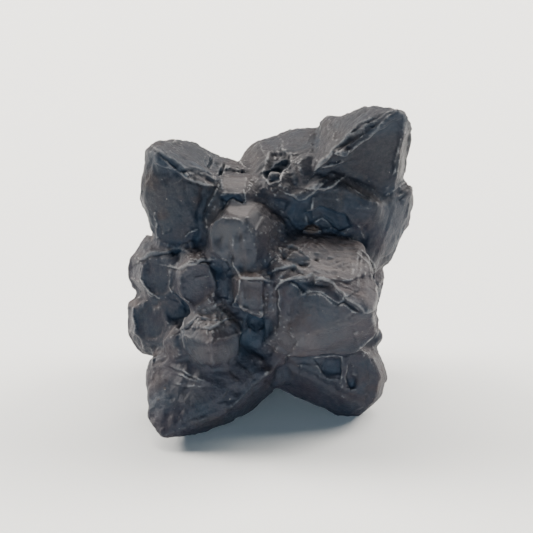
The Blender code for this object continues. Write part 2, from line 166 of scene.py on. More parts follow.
def ramp(values, low, high):
    # smooth rise from 0 at low to 1 at high
    t = np.clip((values - low) / (high - low), 0, 1)
    return t * t * (3 - 2 * t)


def readMesh(items, name, wide, kind=float):
    values = np.empty(len(items) * wide, kind)
    items.foreach_get(name, values)
    return values.reshape(-1, wide)


def meshPoints(mesh):
    return readMesh(mesh.vertices, "co", 3)


def meshNormals(mesh):
    return readMesh(mesh.vertices, "normal", 3)


def meshEdges(mesh):
    return readMesh(mesh.edges, "vertices", 2, np.int64)


def movePoints(mesh, co):
    mesh.vertices.foreach_set("co", co.astype(np.float32).ravel())
    mesh.update()


def spread(values, edges, rounds):
    # each round replaces a vertex's value by the mean of its own and its neighbours'
    count = np.bincount(edges.ravel(), minlength=len(values)) + 1
    flat = values.reshape(len(values), -1)
    for step in range(rounds):
        total = flat.copy()
        for k in range(flat.shape[1]):
            total[:, k] += np.bincount(edges[:, 0], flat[edges[:, 1], k], len(flat))
            total[:, k] += np.bincount(edges[:, 1], flat[edges[:, 0], k], len(flat))
        flat = total / count[:, None]
    return flat.reshape(values.shape)


def newPiece(name, bm):
    mesh = bpy.data.meshes.new(name)
    bm.to_mesh(mesh)
    piece = bpy.data.objects.new(name, mesh)
    bpy.context.scene.collection.objects.link(piece)
    return piece


def applyModifiers(piece):
    graph = bpy.context.evaluated_depsgraph_get()
    done = bpy.data.meshes.new_from_object(piece.evaluated_get(graph))
    old = piece.data
    piece.modifiers.clear()
    piece.data = done
    bpy.data.meshes.remove(old)


# The skin of the stone: heights and sizes are in millimetres unless a note says otherwise.
stoneSkin = {
    "merge": 1e-6,  # how near the solid's corners are one, in metres
    "grid": 0.00016,  # fineness of the mesh while it is shaped, in metres
    "fillGrid": 0.00028,  # and while the joints are grown over
    "jointFill": 0.0008,  # how far the narrow joints between crystals are grown over, in metres
    "fillRounds": 2,  # rounds of smoothing before it shrinks back
    "sharpEdge": 14,  # degrees from which an edge between two faces counts as one
    "edgeStep": 0.25,  # spacing of the points that stand for the edges
    "wornEdges": 5,  # rounds of smoothing that wear the edges round
    "rubbing": 60,  # rounds of smoothing where creases are rubbed out
    "triangles": 194000,  # left after thinning
    "farThinning": 0.0001,  # how much more the side away from the camera is thinned
    "leastThinned": 0.05,  # and the share of it that the seen side takes
    "thinFade": 1.5,  # how fast it fades where the seen side starts
    "swell": 0.17,  # soft unevenness of the faces
    "nicks": 0.2,  # how far the edges are nicked
    "bandPitch": 0.95,  # spacing of the fine growth bands beside the edges
    "bandRise": 0.12,  # their height on rough upper faces
    "bandRiseSmooth": 0.03,  # and on smooth faces
    "bandLeast": 0.3,  # share of it that is left between the patches of bands
    "terracePitch": 2.4,  # the wide steps of the faces that the camera doesn't see
    "terraceRise": 0.3,
    "terraceWarp": 1.3,  # how uneven their lines are beside those of the bands
    "terraceLost": 0.9,  # share of them that the seen side loses
    "crumbSize": 0.7,  # the tiny crystals in the joints
    "crumbRise": 0.3,
    "crumbSink": 0.15,  # height of a crumb that lies level with the face
    "smallCrumbs": 0.5,  # size and height of the smaller crumbs beside these
    "crumbSeeds": (20, 31),
    "jointCrumbs": 0.8,  # how crumbly the joints are, from 0 to 1
    "pitDepth": 0.2,  # the small pits on rough faces
    "scaleSize": 1.5,  # the flat scales on upper faces
    "scaleRise": 0.22,
    "scaleSink": 0.3,
    "scaleSeed": 40,
    "grain": 0.06,  # height of the finest unevenness
    "streaks": 0.06,  # and of the upright streaks on steep faces
    "streakShape": (1, 0.8, 0.3),  # the streaks run along the last axis
    "grainShift": 0.5,  # share of the grain that steep faces lose, and of the streaks that upper ones lose
    "calming": 0.6,  # share of all this that the smooth facets lose
}

# Layers of soft noise: strength, size in millimetres and seed of each.
noiseLayers = {
    "upper": [(0.25, 6, 1)],
    "swell": [(1, 4.2, 2), (0.75, 1.9, 3), (0.35, 0.9, 16)],
    "nicks": [(1, 1.3, 4), (0.5, 0.6, 5)],
    "bandWarp": [(0.9, 5, 6), (0.3, 1.6, 7)],
    "bandPatches": [(1, 3.5, 8)],
    "terracePatches": [(1, 7, 21)],
    "pits": [(1, 1.5, 9), (0.4, 0.5, 10)],
    "scalePatches": [(1, 5, 17)],
    "grain": [(1, 0.45, 11)],
    "streaks": [(1, 0.6, 14)],
    "streakPatches": [(1, 3, 15)],
    "markWanderX": [(1.1, 1.1, 12)],  # pixels that the drawn marks wander
    "markWanderY": [(1.1, 1.1, 13)],
    "facetWanderX": [(1.6, 1.3, 18)],  # and the outlines of the flat facets
    "facetWanderY": [(1.6, 1.3, 19)],
}

# Where each mask starts and where it is full; distances are below zero where less of them counts more.
masks = {
    "onSolid": (-0.55, -0.25),  # how far the skin lies off the solid
    "joint": (0.12, 0.5),  # the same, where it makes a joint
    "jointTone": (0.3, 0.8),  # and where it darkens one
    "upper": (0.3, 0.75),  # how much a face looks up
    "facing": (0, 0.3),  # how much it looks at the camera
    "lumpFacing": (-0.8, -0.3),
    "nicks": (-0.1, 0.9),
    "nickedEdge": (-0.9, 0),  # distance to an edge
    "wornEdge": (-1.3, -0.3),
    "bandRise": (0, 0.75),  # share of a growth band where it rises and where it drops
    "bandDrop": (0.8, 1),
    "bandPatches": (-0.35, 0.35),
    "terraceRise": (0, 0.8),
    "terraceDrop": (0.86, 1),
    "terracePatches": (-0.5, 0.3),
    "pits": (0.45, 0.8),
    "scalePatches": (-0.6, 0.2),
    "streakPatches": (-0.5, 0.5),
    "wearFine": (0.014, 0.05),  # bulge of the surface, close up
    "wearWide": (0.02, 0.12),  # and from further off
    "shut": (0.25, 0.85),  # share of the sky that is shut off
    "sunk": (-0.6, 1.3),  # pixels inside an outline
    "flat": (-2.5, 2),
    "calm": (-2, 1),
    "pale": (-1, 1),
    "toneOval": (-1.25, -0.5),  # distance from the middle of an oval, in half-sizes
    "ochreOval": (-1.2, -0.7),
    "crumblyOval": (-1.15, -0.6),
}

# How the drawn marks stand out: shares of a mark's own height or width, or pixels.
drawnShape = {
    "ledgeReach": 8,  # widths over which a ledge's height fades
    "ledgeLip": 0.5,  # widths on both sides of its line where it drops
    "ledgeGroove": 0.2,  # depth of the groove below it
    "wornHeight": 0.18,  # ledges above this height get a painted highlight on their upper lip
    "wornRange": 0.1,  # and fully so when they are this much higher
    "wornPlace": 0.6,  # pixels that the painted highlight lies off the line
    "wornWidth": 0.9,
    "rubbedCore": 0.4,  # share of a rubbed line's half-width that is rubbed full
    "flatReach": 2,  # millimetres that a flat facet may move a point
    "forward": 0.5,  # share of a mark's height that goes towards the camera
    "calmLeast": 0.4,  # how smooth a calm facet is, and how much more so by the strength of its painted sheen
    "calmPerPale": 2,
}

# Marks on the side that the camera sees: the places are in image pixels, the heights in millimetres.
# A ledge stands out on the left of its line as one walks along it, a rim on both sides.
ridgeLedges = [
    (0.34, 1.0, [(279, 286), (282, 282.5), (293, 278.5), (308, 278), (313, 275.5), (315.5, 280.5),
        (323, 279.5), (329, 281), (333, 284.5), (337, 289.5), (342, 294), (345.5, 298), (353, 304),
        (359, 307.5), (364.5, 312), (372, 311), (374.5, 304)]),
    (0.30, 0.9, [(304, 295), (309, 293), (320, 291.7), (326.7, 297), (332, 300), (338, 304.5), (341, 302),
        (344.5, 299.5)]),
    (0.30, 1.4, [(283, 269), (290, 267), (294, 266), (298, 269), (302, 273)]),
    (0.26, 1.2, [(286, 250), (291, 246.5), (294, 247.5), (298, 251)]),
    (0.16, 1.6, [(322, 279), (335, 281), (345, 282), (352, 281), (357, 278.5), (362, 276)]),
    (0.26, 1.4, [(320, 167), (323, 163.5), (328, 159), (332, 154), (335, 149.5), (342, 143.5), (348, 137),
        (356, 134.5), (363, 131.5)]),
    (0.22, 1.2, [(350, 136), (356, 130), (363, 125.5), (371, 121.5)]),
    (0.22, 1.2, [(338, 154), (345, 154.5), (351, 151), (357, 147), (363, 141), (370, 137), (377, 131),
        (384, 127)]),
    (0.30, 1.4, [(157, 151), (163, 155.5), (170, 159.5), (174, 163.5), (178, 168), (184, 170.5), (191, 170),
        (198, 172.5)]),
    (0.30, 1.4, [(170, 168.5), (177, 171), (182, 175), (188, 179), (194, 182.5), (200, 184.5), (208, 186)]),
    (0.20, 1.0, [(187, 177), (192, 174.5), (198, 174), (205, 178), (213, 181)]),
    (0.28, 1.2, [(235, 268), (238, 274), (241, 278.5), (247, 279.5), (256, 279), (266, 280.5)]),
    (0.13, 1.6, [(183, 334), (190, 339), (200, 343), (209, 346), (214, 343), (219, 339), (230, 337),
        (238, 334)]),
    (0.24, 1.0, [(200, 328), (210, 329), (218, 325), (226, 321)]),
    (0.24, 1.0, [(186, 327), (193, 322), (198, 317), (206, 319)]),
    (0.22, 0.9, [(175, 369), (183, 372), (191, 376), (200, 380)]),
    (0.18, 0.9, [(181, 376), (187, 379), (194, 381)]),
    (0.16, 0.9, [(178, 384), (187, 386), (197, 386.5)]),
    (0.36, 1.4, [(316, 190.5), (325, 191), (331, 188), (336, 184)]),
    (0.36, 1.4, [(293, 197), (299, 200), (306, 199), (312, 195), (316, 191.5)]),
    (0.24, 1.2, [(325, 168), (332, 166), (338, 164), (343, 162.5)]),
    (0.30, 1.0, [(143, 260), (148, 257), (158, 254), (170, 252.5), (175, 249), (183, 251.5)]),
    (0.30, 1.0, [(172, 267.5), (180, 270), (188, 265), (197, 264), (200, 261), (210, 260)]),
]
ridgeRims = [
    (0.14, 0.9, [(357, 254), (362, 260), (367, 263), (369, 268), (369.5, 274), (370, 281)]),
    (0.18, 0.9, [(362, 251), (368, 257), (372, 262), (375, 268), (375.5, 278), (375.5, 287), (375, 297),
        (375.5, 306), (374, 311)]),
    (0.10, 0.9, [(279, 287), (279.5, 298), (280, 310)]),
    (0.06, 1.8, [(303, 283), (302, 294), (304, 305)]),
    (0.06, 1.8, [(315, 296), (316, 307), (321, 316)]),
    (0.24, 4.0, [(298, 346), (313, 348), (332, 342), (351, 335), (366, 329), (376, 319)]),
    (0.12, 1.6, [(376, 316), (379, 329), (377, 335), (369, 341), (360, 347)]),
    (0.12, 1.4, [(404, 114), (404.5, 130), (403, 145), (402, 158), (400, 170), (397, 178)]),
    (0.08, 1.6, [(400, 140), (398, 152), (395, 162), (394, 172), (390, 182), (385, 191)]),
    (0.14, 1.6, [(322, 216), (331, 221), (338, 227), (344, 233)]),
    (0.14, 1.6, [(345, 213), (352, 221), (360, 227), (364, 238)]),
    (0.14, 1.6, [(313, 198), (312, 209), (314, 218)]),
    (0.16, 1.1, [(386, 195), (396, 188), (405, 183), (412, 181)]),
    (0.14, 1.0, [(155, 212), (156, 224), (158, 237)]),
    (0.16, 1.0, [(187, 235), (192, 231), (197, 229)]),
    (0.18, 1.0, [(240, 280), (239, 290), (236, 300), (233, 306), (240, 307), (247, 309)]),
    (0.14, 1.0, [(141, 262), (141, 280), (149, 291), (160, 300)]),
    (0.12, 1.0, [(170, 272), (169, 287), (176, 297), (184, 306)]),
    (0.10, 0.8, [(195, 278), (200, 276.5), (206, 276)]),
    (0.16, 1.1, [(140, 298), (134, 304), (133, 316), (135, 326), (134, 336), (140, 346), (147, 352)]),
    (0.14, 1.0, [(184, 318), (183, 334), (185, 346), (192, 357)]),
    (0.14, 1.2, [(153, 358), (153, 368), (152, 379)]),
    (0.06, 1.6, [(341, 357), (341, 371), (342, 386)]),
    (0.14, 1.0, [(255, 230), (258, 225), (262, 218)]),
    (0.12, 1.0, [(221, 178), (217, 191), (208, 205)]),
    (0.14, 1.0, [(246, 178), (244, 191), (246, 201)]),
    (0.12, 0.9, [(204, 160), (205, 157), (209, 156)]),
    (0.10, 1.0, [(378, 288), (384, 278), (387, 268)]),
]
# Places that broke out or never filled, each a closed outline.
sunkPlaces = [
    (0.50, [(290, 281), (308, 280), (313, 278), (316, 282.5), (323, 281.5), (329, 283), (336, 291.5),
        (345, 300), (352, 305.5), (362, 313), (352, 310), (344, 304), (338, 306), (332, 301.5), (326.5, 298),
        (320, 293), (305, 294.5), (298, 288)]),
    (0.30, [(280, 279), (287, 271), (293, 268.5), (297, 270), (301, 274), (298, 275), (292, 276),
        (284, 281)]),
    (0.25, [(299, 263.5), (303, 262), (311, 265), (309, 267.5), (304, 270), (301, 268)]),
    (0.20, [(312, 260), (317, 259), (320.5, 262), (319.5, 265), (316, 262)]),
    (0.25, [(279, 259), (281, 254), (288, 251.5), (291, 248.5), (294, 248.5), (297, 251), (292, 253),
        (288, 257), (282, 260)]),
    (0.28, [(382, 121), (372, 124), (366, 129), (364, 133), (352, 138), (345, 143), (337, 151), (352, 148.5),
        (357, 143), (368, 136), (377, 128)]),
    (0.35, [(167, 160), (171, 162), (176, 168), (181, 171), (188, 172), (184, 174), (178, 171.5),
        (172, 168)]),
    (0.70, [(210, 157), (213.5, 158), (211, 164), (209, 170), (206.5, 169), (209, 163)]),
    (0.70, [(223, 162), (225.5, 163), (223.5, 170), (220.5, 177.5), (217, 176), (220, 169)]),
    (0.45, [(220, 196), (230, 195), (240, 194.5), (245, 200), (243, 203), (239, 201), (233, 198), (225, 203),
        (217, 208)]),
    (0.70, [(266, 160), (272, 153), (281, 150), (290, 155), (289, 165), (283, 170), (280, 180), (270, 184),
        (264, 176)]),
    (-0.35, [(338, 153), (342, 149.5), (350, 149), (347, 154), (343, 155)]),
    (-0.30, [(347, 136), (354, 133), (361, 130), (356, 135), (349, 137)]),
    (-0.35, [(326, 166.5), (330, 163), (338, 160.5), (341, 161.5), (331, 165)]),
    (0.50, [(304, 214), (320, 206), (345, 215), (352, 226), (340, 231), (322, 219), (310, 224)]),
    (-0.50, [(303, 233), (306, 227), (311, 226), (314, 223.5), (317, 228), (322, 231), (321, 234)]),
    (0.25, [(313, 358), (341, 357), (340.5, 379), (326, 378), (320, 370)]),
    (0.35, [(349, 363), (352, 366), (353, 372), (355, 380), (354, 387), (350, 389), (347, 384), (346, 377)]),
]
# Creases that are rubbed smooth: half-width in pixels and the line.
rubbedLines = [
    (13, [(296, 345), (315, 336), (334, 325), (350, 315), (360, 309)]),
    (9, [(160, 352), (166, 372), (172, 395), (176, 415)]),
    (8, [(206, 372), (212, 352)]),
    (7, [(168, 180), (172, 205), (182, 225)]),
    (9, [(322, 225), (345, 222), (358, 232)]),
    (9, [(318, 176), (340, 181), (362, 189), (386, 197)]),
    (8, [(386, 200), (383, 215), (379, 232), (373, 250)]),
    (8, [(222, 244), (236, 239), (250, 232)]),
    (5, [(224, 249), (230, 260), (238, 273)]),
]
# Soft swellings: middle, half-sizes and height.
softLumps = [
    (163, 369, 6, 8, -0.16), (189, 397, 5, 6, -0.14), (203, 407, 4, 5, -0.12), (240, 392, 9, 5, -0.12),
    (261, 150, 10, 8, 0.35), (297, 136, 17, 9, 0.40), (328, 126, 8, 10, 0.35), (360, 118, 18, 7, 0.15),
    (312, 150, 9, 9, 0.20), (160, 190, 8, 16, 0.12), (182, 196, 8, 14, -0.10), (172, 222, 10, 9, 0.10),
    (318, 322, 20, 10, 0.10), (345, 330, 14, 8, -0.08), (292, 318, 8, 14, -0.08), (180, 395, 14, 10, -0.10),
    (206, 385, 12, 9, 0.12), (235, 372, 14, 9, 0.10), (160, 378, 8, 12, 0.10), (210, 412, 16, 7, -0.08),
    (352, 398, 14, 8, 0.10), (306, 380, 12, 8, 0.10), (330, 262, 12, 5, -0.10), (352, 268, 10, 5, 0.12),
    (372, 150, 10, 14, 0.06), (385, 165, 8, 10, -0.06), (337, 201, 5, 13, 0.35), (345, 200, 3, 10, -0.15),
    (361, 197, 9, 5, -0.35), (357, 208, 8, 4, 0.25), (366, 214, 8, 4, -0.25), (216, 303, 9, 7, 0.6),
    (225, 302, 6, 8, 0.5), (322, 203, 5, 9, -0.2), (217, 238, 5, 6, -0.5), (238.5, 236, 3, 5, -0.4),
    (233, 245, 3, 9, 0.35), (231, 257, 3, 5, -0.6), (226, 224, 7, 4, 0.25), (248, 255, 5, 8, 0.35),
    (230, 327, 8, 7, 0.8), (246, 228, 3, 5, -0.25), (220, 252, 5, 5, 0.3), (244, 241, 3, 5, 0.2),
    (242, 264, 3, 4, -0.3),
]
# Smooth facets, kept free of crumbs and unevenness: the strength of the painted sheen that lightens each, and
# its outline.
calmPlaces = [
    (0.35, [(223.5, 178), (247, 178), (247, 181), (242.5, 193), (229, 194), (219, 191)]),
    (0.60, [(226, 210), (232, 201), (237, 200.5), (243, 203), (248, 202), (255.5, 204), (246, 216.5),
        (239.5, 217), (228.5, 212)]),
    (0.20, [(247, 218), (255, 206), (260, 212), (256, 228), (250, 230)]),
    (0.45, [(263, 215), (265, 218), (257, 229.5), (254, 228)]),
    (0.12, [(222, 217), (232, 218), (240, 222), (246, 226), (250, 234), (253, 243), (256, 252), (255, 262),
        (250, 268), (243, 266), (233, 262), (222, 257), (214, 250), (211, 240), (210, 230), (215, 222)]),
    (0.12, [(184, 346), (211, 347), (236, 344), (234, 356), (224, 363), (208, 365), (194, 362)]),
    (0.05, [(238, 274), (262, 276), (262, 310), (238, 308)]),
    (0.0, [(150, 372), (165, 375), (172, 385), (170, 405), (160, 412), (152, 400)]),
]
# Facets cut flat: outline, a middle, the depth there in millimetres and its change per pixel across and down.
flatPlaces = [
    ([(213, 222), (222, 216), (231, 217.5), (241, 221), (247, 226), (251, 234), (254, 244), (257, 253),
        (255, 263), (249, 268), (242, 266), (233, 262), (221, 257), (213, 251), (209.5, 240), (209.5, 230)],
        (240, 240), 12.25, 0.0387, -0.0389),
    ([(222, 181), (227, 194), (222, 204), (214, 220), (209, 231), (205, 229), (203.5, 214), (208, 200),
        (216, 187)], (214, 208), 9.1, 0.07, 0.045),
    ([(184, 337), (197, 342), (211, 346), (211, 364.5), (201, 363), (186, 351)],
        (200, 350), 11.25, 0.132, -0.11),
    ([(211.5, 346), (224, 340), (236, 334), (240.5, 339), (238, 353), (230, 361), (212, 365)],
        (226, 348), 11.45, -0.115, -0.085),
]
# Places where the edges stayed unworn and get no painted highlight: how far, and the outline.
unwornPlaces = [
    (0.85, [(182, 336), (197, 339), (211, 342), (226, 337), (239, 331), (242, 345), (236, 358), (222, 368),
        (206, 369), (188, 360)]),
]
# Painted light and shade on the crystals: middle, half-sizes and how much lighter than the rest, or darker if
# below zero.
tonePlaces = [
    (214, 206, 8, 13, 0.5), (271, 300, 8, 22, 0.4), (234, 292, 5, 16, 0.3), (330, 262, 52, 16, 0.95),
    (322, 326, 48, 30, 0.30), (296, 346, 26, 14, 0.35), (212, 318, 24, 14, 1.0), (394, 215, 16, 40, -0.30),
    (358, 206, 20, 14, -0.30), (160, 402, 14, 18, -0.20), (188, 388, 22, 18, 0.40), (232, 197, 14, 4, -0.4),
    (300, 206, 14, 12, -0.3), (214, 275, 8, 16, -0.2), (250, 294, 13, 18, 0.40), (194, 280, 16, 20, 0.22),
    (156, 274, 14, 16, 0.12), (232, 242, 24, 26, 0.30), (212, 354, 28, 10, 0.15), (312, 214, 12, 10, 0.2),
    (185, 158, 44, 20, -0.5), (372, 120, 50, 18, -0.4), (290, 142, 40, 14, -0.3), (165, 248, 34, 9, -0.4),
]
# Knobs, flecks and stains in ochre and rust: middle, half-sizes and strength.
ochrePlaces = [
    (312, 229, 8, 4.5, 0.8), (206, 421, 20, 6, 0.15), (165, 388, 1.3, 1.3, 0.5), (159, 399, 1, 1, 0.5),
    (245, 299, 1, 1, 0.6), (249, 297, 0.8, 0.8, 0.6), (309, 315, 3, 1, 0.3), (250, 330, 1, 1, 0.4),
]
# Crumbly places: middle, half-sizes and strength.
crumblyPlaces = [
    (210, 320, 24, 17, 1.0), (216, 297, 12, 9, 1.0), (254, 188, 9, 12, 0.8), (278, 188, 14, 8, 1.0),
    (294, 166, 9, 16, 0.9), (276, 250, 13, 24, 0.9), (270, 347, 10, 9, 0.8), (284, 330, 14, 18, 0.5),
    (270, 222, 14, 20, 0.6), (196, 256, 17, 6, 0.7), (240, 320, 16, 14, 0.4), (170, 352, 12, 8, 0.5),
    (158, 244, 9, 4, 0.8), (243, 167, 14, 7, 0.7), (372, 350, 10, 8, 0.5), (277, 157, 10, 9, 0.6),
]
# Small crystals that close joints where the crystals meet: middle and size in millimetres.
joiners = [((1.1, -12.6, 10.3), 1.6)]

# Rounds of smoothing of what is measured on the skin.
measureRounds = {
    "joint": 6, "normal": 3, "seen": 3, "wearFine": 2, "wearWide": 10, "shut": 2, "jointTone": 2, "upper": 4,
}

# Rays that find the points that the camera sees and the share of the sky that is shut off.
rays = {
    "leastFacing": 0.03,  # how much a point has to look at the camera to be seen
    "seenLift": 0.25,  # height above the skin where a ray starts, in millimetres
    "skyLift": 0.1,
    "skyRays": 14,
    "skyReach": 9,  # length of the sky's rays, in millimetres
    "turn": 2.39996,  # radians from ray to ray
}


def solidWithJoiners():
    solid = bmesh.new()
    solid.from_mesh(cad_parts["crystal_cluster"].data)
    bmesh.ops.remove_doubles(solid, verts=solid.verts, dist=stoneSkin["merge"])
    # in a copy the joiners' points come after the solid's
    bm = solid.copy()
    solid.free()
    for place, size in joiners:
        matrix = Matrix.Translation(Vector(place) * mm)
        bmesh.ops.create_icosphere(bm, subdivisions=1, radius=size * mm, matrix=matrix)
    return bm


def addModifier(piece, kind, **settings):
    modifier = piece.modifiers.new(kind.lower(), kind)
    for name, value in settings.items():
        setattr(modifier, name, value)


def fineMesh(name, bm):
    # grown outwards and back again, so that the narrow joints fill up
    piece = newPiece(name, bm)
    fill = stoneSkin["jointFill"]
    addModifier(piece, "REMESH", mode="VOXEL", voxel_size=stoneSkin["fillGrid"])
    addModifier(piece, "DISPLACE", strength=fill, mid_level=0)
    addModifier(piece, "REMESH", mode="VOXEL", voxel_size=stoneSkin["fillGrid"])
    addModifier(piece, "SMOOTH", factor=0.5, iterations=stoneSkin["fillRounds"])
    addModifier(piece, "DISPLACE", strength=-fill, mid_level=0)
    addModifier(piece, "REMESH", mode="VOXEL", voxel_size=stoneSkin["grid"])
    applyModifiers(piece)
    return piece


def pointTree(points):
    tree = KDTree(len(points))
    for k, point in enumerate(points):
        tree.insert(point, k)
    tree.balance()
    return tree


def edgeDistance(bm, points):
    # distance in millimetres to the nearest outer edge of a crystal face
    spots = []
    for edge in bm.edges:
        if edge.is_convex and edge.calc_face_angle(0) > math.radians(stoneSkin["sharpEdge"]):
            a, b = edge.verts[0].co, edge.verts[1].co
            pieces = max(1, int((b - a).length / (stoneSkin["edgeStep"] * mm)))
            spots += [a.lerp(b, k / pieces) for k in range(pieces + 1)]
    tree = pointTree(spots)
    return np.array([tree.find(p)[2] for p in points]) / mm


def nearestFace(tree, points):
    # place on the solid nearest each point, and the outward direction there
    found = [tree.find_nearest(p) for p in points]
    return np.array([f[0] for f in found]), np.array([f[1] for f in found])


def masked(name, values):
    return ramp(values, *masks[name])


def layered(name, co):
    # the sum of the named layers of soft noise
    return sum(strength * softNoise(co, size * mm, seed) for strength, size, seed in noiseLayers[name])


def lineDistance(x, y, line, closed=False):
    # distance to a drawn line in pixels; below zero on the left of it, or inside a closed one
    points = line + [line[0]] if closed else line
    best = np.full(len(x), np.inf)
    side = np.ones(len(x))
    inside = np.zeros(len(x), bool)
    for (ax, ay), (bx, by) in zip(points, points[1:]):
        ex, ey = bx - ax, by - ay
        t = np.clip(((x - ax) * ex + (y - ay) * ey) / (ex * ex + ey * ey), 0, 1)
        d = np.hypot(x - ax - t * ex, y - ay - t * ey)
        cross = ex * (y - ay) - ey * (x - ax)
        near = d < best
        best = np.where(near, d, best)
        side = np.where(near, np.sign(cross), side)
        if closed and ay != by:
            crosses = ((ay > y) != (by > y)) & (x < (bx - ax) * (y - ay) / (by - ay) + ax)
            inside ^= crosses
    return np.where(inside, -best, best) if closed else best * side


def seenFromCamera(co, normal, tree):
    # 1 where the camera sees the point, 0 elsewhere
    towards = Vector(cameraAxis)
    seen = np.zeros(len(co))
    for k in np.flatnonzero(normal @ cameraAxis > rays["leastFacing"]):
        start = Vector(co[k] + normal[k] * rays["seenLift"] * mm)
        if tree.ray_cast(start, towards)[0] is None:
            seen[k] = 1
    return seen


def drawnMarks(x, y):
    # millimetres that the drawn ledges, rims and sunk places move each point
    move = np.zeros(len(x))
    for rise, width, line in ridgeLedges:
        d = lineDistance(x, y, line)
        lip = width * drawnShape["ledgeLip"]
        fading = np.exp(-np.maximum(-d, 0) / (width * drawnShape["ledgeReach"]))
        move += rise * fading * ramp(-d, -lip, lip)
        move -= drawnShape["ledgeGroove"] * rise * np.exp(-((d - width) / width) ** 2)
    for rise, width, line in ridgeRims:
        d = np.abs(lineDistance(x, y, line))
        move += rise * np.exp(-(d / width) ** 2)
    for depthHere, outline in sunkPlaces:
        d = lineDistance(x, y, outline, closed=True)
        move -= depthHere * masked("sunk", -d)
    return move


def drawnWear(x, y):
    # painted highlight on the upper lips of the drawn ledges, which are made bright
    wear = np.zeros(len(x))
    for rise, width, line in ridgeLedges:
        d = lineDistance(x, y, line)
        strength = min(1, max(0, (rise - drawnShape["wornHeight"]) / drawnShape["wornRange"]))
        lip = np.exp(-((d + drawnShape["wornPlace"]) / drawnShape["wornWidth"]) ** 2)
        wear = np.maximum(wear, strength * lip)
    return wear


def wandering(co, name):
    # image places shifted by soft noise, so that what is drawn there wanders
    x, y, depth = inImage(co)
    return x + layered(name + "X", co), y + layered(name + "Y", co), depth


def lumpRise(co, normal):
    # millimetres that the soft swellings lift each point, a little way round the outline too
    x, y, depth = inImage(co)
    move = np.zeros(len(co))
    for atX, atY, wide, high, rise in softLumps:
        move += rise * np.exp(-((x - atX) / wide) ** 2 - ((y - atY) / high) ** 2)
    return move * masked("lumpFacing", normal @ cameraAxis)


def rubbing(co):
    # how far the creases are rubbed smooth at each point, from 0 to 1
    x, y, depth = inImage(co)
    total = np.zeros(len(co))
    for width, line in rubbedLines:
        far = np.abs(lineDistance(x, y, line))
        total = np.maximum(total, ramp(-far, -width, -drawnShape["rubbedCore"] * width))
    return total


def flattened(co):
    # millimetres towards the camera that bring each point to the plane of its facet
    x, y, depth = wandering(co, "facetWander")
    move = np.zeros(len(co))
    for outline, (atX, atY), middleDepth, perAcross, perDown in flatPlaces:
        gap = middleDepth + perAcross * (x - atX) + perDown * (y - atY) - depth
        share = masked("flat", -lineDistance(x, y, outline, closed=True))
        move += share * np.where(np.abs(gap) < drawnShape["flatReach"], gap, 0)
    return move


def inOutlines(co, places, maskName):
    # greatest strength of the closed outlines at each point
    x, y, depth = inImage(co)
    best = np.zeros(len(co))
    for strength, outline in places:
        best = np.maximum(best, strength * masked(maskName, -lineDistance(x, y, outline, closed=True)))
    return best


def inOvals(co, places, maskName):
    # strength of each oval at each point, one row for an oval
    x, y, depth = inImage(co)
    return np.array([strength * masked(maskName, -np.hypot((x - atX) / wide, (y - atY) / high))
                     for atX, atY, wide, high, strength in places])


def upperShare(co, flatNormal):
    # 1 on faces that look up in the image, 0 on steep ones
    return masked("upper", flatNormal @ upAxis + layered("upper", co))


def onSkin(mesh, bm):
    # points of the skin after its edges are worn and its facets cut, and what is known at each of them
    edges = meshEdges(mesh)
    co = meshPoints(mesh)
    onSolid, flatNormal = nearestFace(BVHTree.FromBMesh(bm), co)
    filled = np.linalg.norm(onSolid - co, axis=1) / mm
    co = co + (onSolid - co) * masked("onSolid", -filled)[:, None]
    co = spread(co, edges, stoneSkin["wornEdges"])
    at = {"joint": masked("joint", spread(filled, edges, measureRounds["joint"])),
          "edgeGap": edgeDistance(bm, co)}
    normal = spread(meshNormals(mesh), edges, measureRounds["normal"])
    normal /= np.linalg.norm(normal, axis=1)[:, None]
    tree = BVHTree.FromPolygons(co.tolist(), polygonList(mesh))
    seen = spread(seenFromCamera(co, normal, tree), edges, measureRounds["seen"])
    rubbed = (rubbing(co) * seen)[:, None]
    co = co + (spread(co, edges, stoneSkin["rubbing"]) - co) * rubbed
    co = co + cameraAxis * (flattened(co) * seen)[:, None] * mm
    least, perPale = drawnShape["calmLeast"], drawnShape["calmPerPale"]
    calm = [(min(1, least + perPale * pale), outline) for pale, outline in calmPlaces]
    at["seen"] = seen
    at["upper"] = upperShare(co, flatNormal)
    at["lively"] = 1 - stoneSkin["calming"] * inOutlines(co, calm, "calm") * seen
    crumbly = inOvals(co, crumblyPlaces, "crumblyOval").max(0) * seen
    at["crumbly"] = np.maximum(crumbly, at["joint"] * stoneSkin["jointCrumbs"]) * at["lively"]
    return co, normal, at


def stepped(name, phase):
    # steps from -0.5 to 0.5 that rise slowly and drop fast
    saw = phase - np.floor(phase)
    return masked(name + "Rise", saw) - masked(name + "Drop", saw) - 0.5


def growthSteps(co, at):
    # fine bands beside the edges, and wide terraces on the side that the camera doesn't see
    warp = layered("bandWarp", co)
    band = stepped("band", (at["edgeGap"] + warp) / stoneSkin["bandPitch"])
    patchy = masked("bandPatches", layered("bandPatches", co))
    low, high = stoneSkin["bandRiseSmooth"], stoneSkin["bandRise"]
    least = stoneSkin["bandLeast"]
    move = (low + (high - low) * at["upper"]) * band * (least + (1 - least) * patchy)
    far = at["edgeGap"] + stoneSkin["terraceWarp"] * warp
    terrace = stepped("terrace", far / stoneSkin["terracePitch"])
    here = masked("terracePatches", layered("terracePatches", co)) * (1 - stoneSkin["terraceLost"] * at["seen"])
    move += stoneSkin["terraceRise"] * terrace * here
    return move * (1 - at["joint"])


